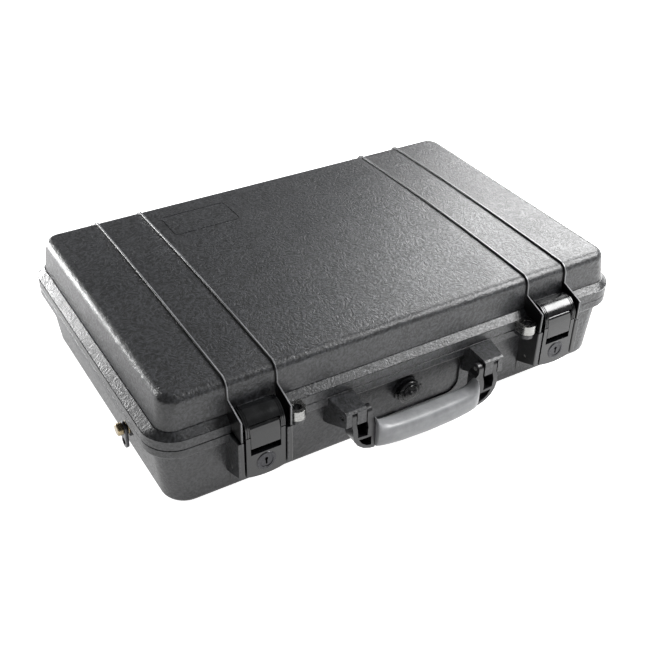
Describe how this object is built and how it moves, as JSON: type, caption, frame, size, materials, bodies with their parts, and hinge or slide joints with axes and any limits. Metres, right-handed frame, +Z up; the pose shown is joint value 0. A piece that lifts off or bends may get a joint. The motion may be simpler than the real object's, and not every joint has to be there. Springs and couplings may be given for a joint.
{
  "type": "laptop hard case",
  "caption": "Black moulded hard case with a ribbed hinged lid, double-throw latches with key locks, folding handle, padlock eyes, purge valve, strap links and a foam-lined laptop well.",
  "frame": {"origin": "on the flat underside, midway between the two end walls and near the middle of the lips front to back", "axes": "+X along the case's length, to the right seen from the latches; -Y the front, with latches and handle; +Z up"},
  "size_m": [0.514, 0.366, 0.1194],
  "materials": {
    "shell": "injection-moulded black polypropylene with a fine pebbled grain",
    "foam": "dark grey open-cell polyurethane foam",
    "seal_rubber": "black moulded rubber",
    "latch_plastic": "smooth glossy black ABS",
    "handle_frame": "satin black nylon",
    "handle_grip": "satin grey soft over-moulding",
    "valve_plastic": "black moulded nylon",
    "guard_steel": "bright stainless steel",
    "pin_steel": "drawn steel rod",
    "lock_dark_metal": "blackened die-cast lock",
    "post_brass": "nickel-toned brass, turned",
    "link_black_steel": "black painted steel"
  },
  "bodies": {
    "base": {"base_shell": "shell", "base_foam_pad": "foam", "base_foam": "foam", "hinge_pin_left": "pin_steel", "hinge_pin_right": "pin_steel", "latch_pivot_pin_left": "pin_steel", "latch_pivot_pin_right": "pin_steel", "handle_pin_left": "pin_steel", "handle_pin_right": "pin_steel", "valve_body": "valve_plastic", "valve_seal": "seal_rubber", "valve_nut": "valve_plastic", "strap_post_left": "post_brass", "strap_post_right": "post_brass"},
    "lid": {"lid_shell": "shell", "lid_seal": "seal_rubber", "lid_foam": "foam", "padlock_guard_left": "guard_steel", "padlock_guard_right": "guard_steel"},
    "handle": {"handle_frame": "handle_frame", "handle_grip": "handle_grip"},
    "valve": {"valve_knob": "valve_plastic"},
    "latch_left": {"latch_body_left": "latch_plastic", "lever_pin_left": "pin_steel", "lock_barrel_left": "lock_dark_metal"},
    "lever_left": {"latch_lever_left": "latch_plastic"},
    "lock_left": {"lock_plug_left": "lock_dark_metal"},
    "strap_left": {"strap_link_left": "link_black_steel"},
    "latch_right": {"latch_body_right": "latch_plastic", "lever_pin_right": "pin_steel", "lock_barrel_right": "lock_dark_metal"},
    "lever_right": {"latch_lever_right": "latch_plastic"},
    "lock_right": {"lock_plug_right": "lock_dark_metal"},
    "strap_right": {"strap_link_right": "link_black_steel"}
  },
  "joints": [
    {"name": "lid_hinge", "type": "hinge", "parent": "base", "child": "lid", "pos_m": [0, 0.159, 0.07], "axis": [-1, 0, 0], "range_deg": [0, 105]},
    {"name": "handle_fold", "type": "hinge", "parent": "base", "child": "handle", "pos_m": [0, -0.184, 0.0585], "axis": [-1, 0, 0], "range_deg": [0, 90]},
    {"name": "valve_turn", "type": "hinge", "parent": "base", "child": "valve", "pos_m": [0, -0.16, 0.039], "axis": [0, -1, 0], "range_deg": [0, 180]},
    {"name": "latch_swing_left", "type": "hinge", "parent": "base", "child": "latch_left", "pos_m": [-0.1601, -0.168, 0.0345], "axis": [1, 0, 0], "range_deg": [0, 95]},
    {"name": "lever_throw_left", "type": "hinge", "parent": "latch_left", "child": "lever_left", "pos_m": [-0.1601, -0.1763, 0.0788], "axis": [-1, 0, 0], "range_deg": [0, 65]},
    {"name": "lock_turn_left", "type": "hinge", "parent": "latch_left", "child": "lock_left", "pos_m": [-0.1601, -0.176, 0.042], "axis": [0, -1, 0], "range_deg": [0, 90]},
    {"name": "strap_swing_left", "type": "hinge", "parent": "base", "child": "strap_left", "pos_m": [-0.2497, -0.084, 0.043], "axis": [1, 0, 0], "range_deg": [-80, 80]},
    {"name": "latch_swing_right", "type": "hinge", "parent": "base", "child": "latch_right", "pos_m": [0.1601, -0.168, 0.0345], "axis": [1, 0, 0], "range_deg": [0, 95]},
    {"name": "lever_throw_right", "type": "hinge", "parent": "latch_right", "child": "lever_right", "pos_m": [0.1601, -0.1763, 0.0788], "axis": [-1, 0, 0], "range_deg": [0, 65]},
    {"name": "lock_turn_right", "type": "hinge", "parent": "latch_right", "child": "lock_right", "pos_m": [0.1601, -0.176, 0.042], "axis": [0, -1, 0], "range_deg": [0, 90]},
    {"name": "strap_swing_right", "type": "hinge", "parent": "base", "child": "strap_right", "pos_m": [0.2497, -0.084, 0.043], "axis": [1, 0, 0], "range_deg": [-80, 80]}
  ]
}
